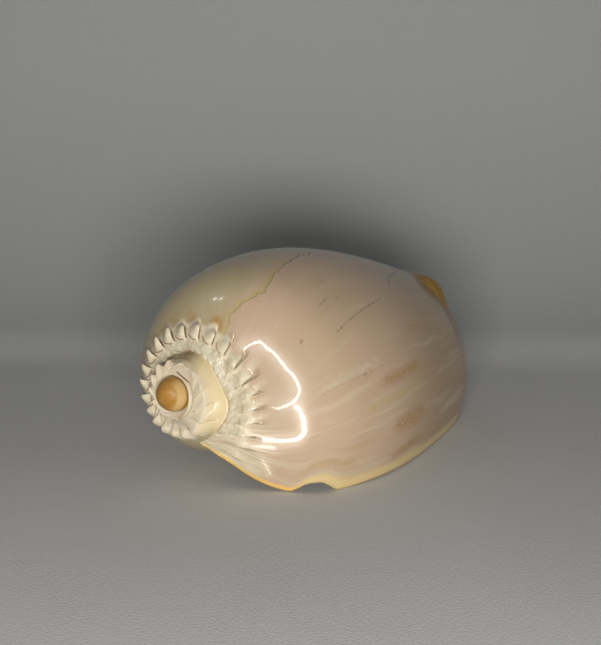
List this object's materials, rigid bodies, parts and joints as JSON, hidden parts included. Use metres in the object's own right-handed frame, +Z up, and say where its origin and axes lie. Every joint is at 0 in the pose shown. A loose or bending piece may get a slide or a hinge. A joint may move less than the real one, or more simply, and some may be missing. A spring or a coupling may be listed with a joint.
{
  "type": "crowned baler shell",
  "caption": "Large inflated sea snail shell with a smooth round tip, a crown of short hollow spines and a wide opening, lying on its opening.",
  "frame": {"origin": "centre of the footprint at floor level, with the shell lying on its opening", "axes": "+X along the shell towards its front end, with the spire towards -X; +Z up; the free outer lip touches the floor on the -Y side"},
  "size_m": [0.1706, 0.114, 0.0895],
  "materials": {
    "shell": "naturally glossy cream to pinkish tan shell, amber at the tip and along the lip, with faint growth lines, orange-brown flecks and dark hairline cracks"
  },
  "bodies": {
    "root": {"shell": "shell"}
  },
  "joints": []
}
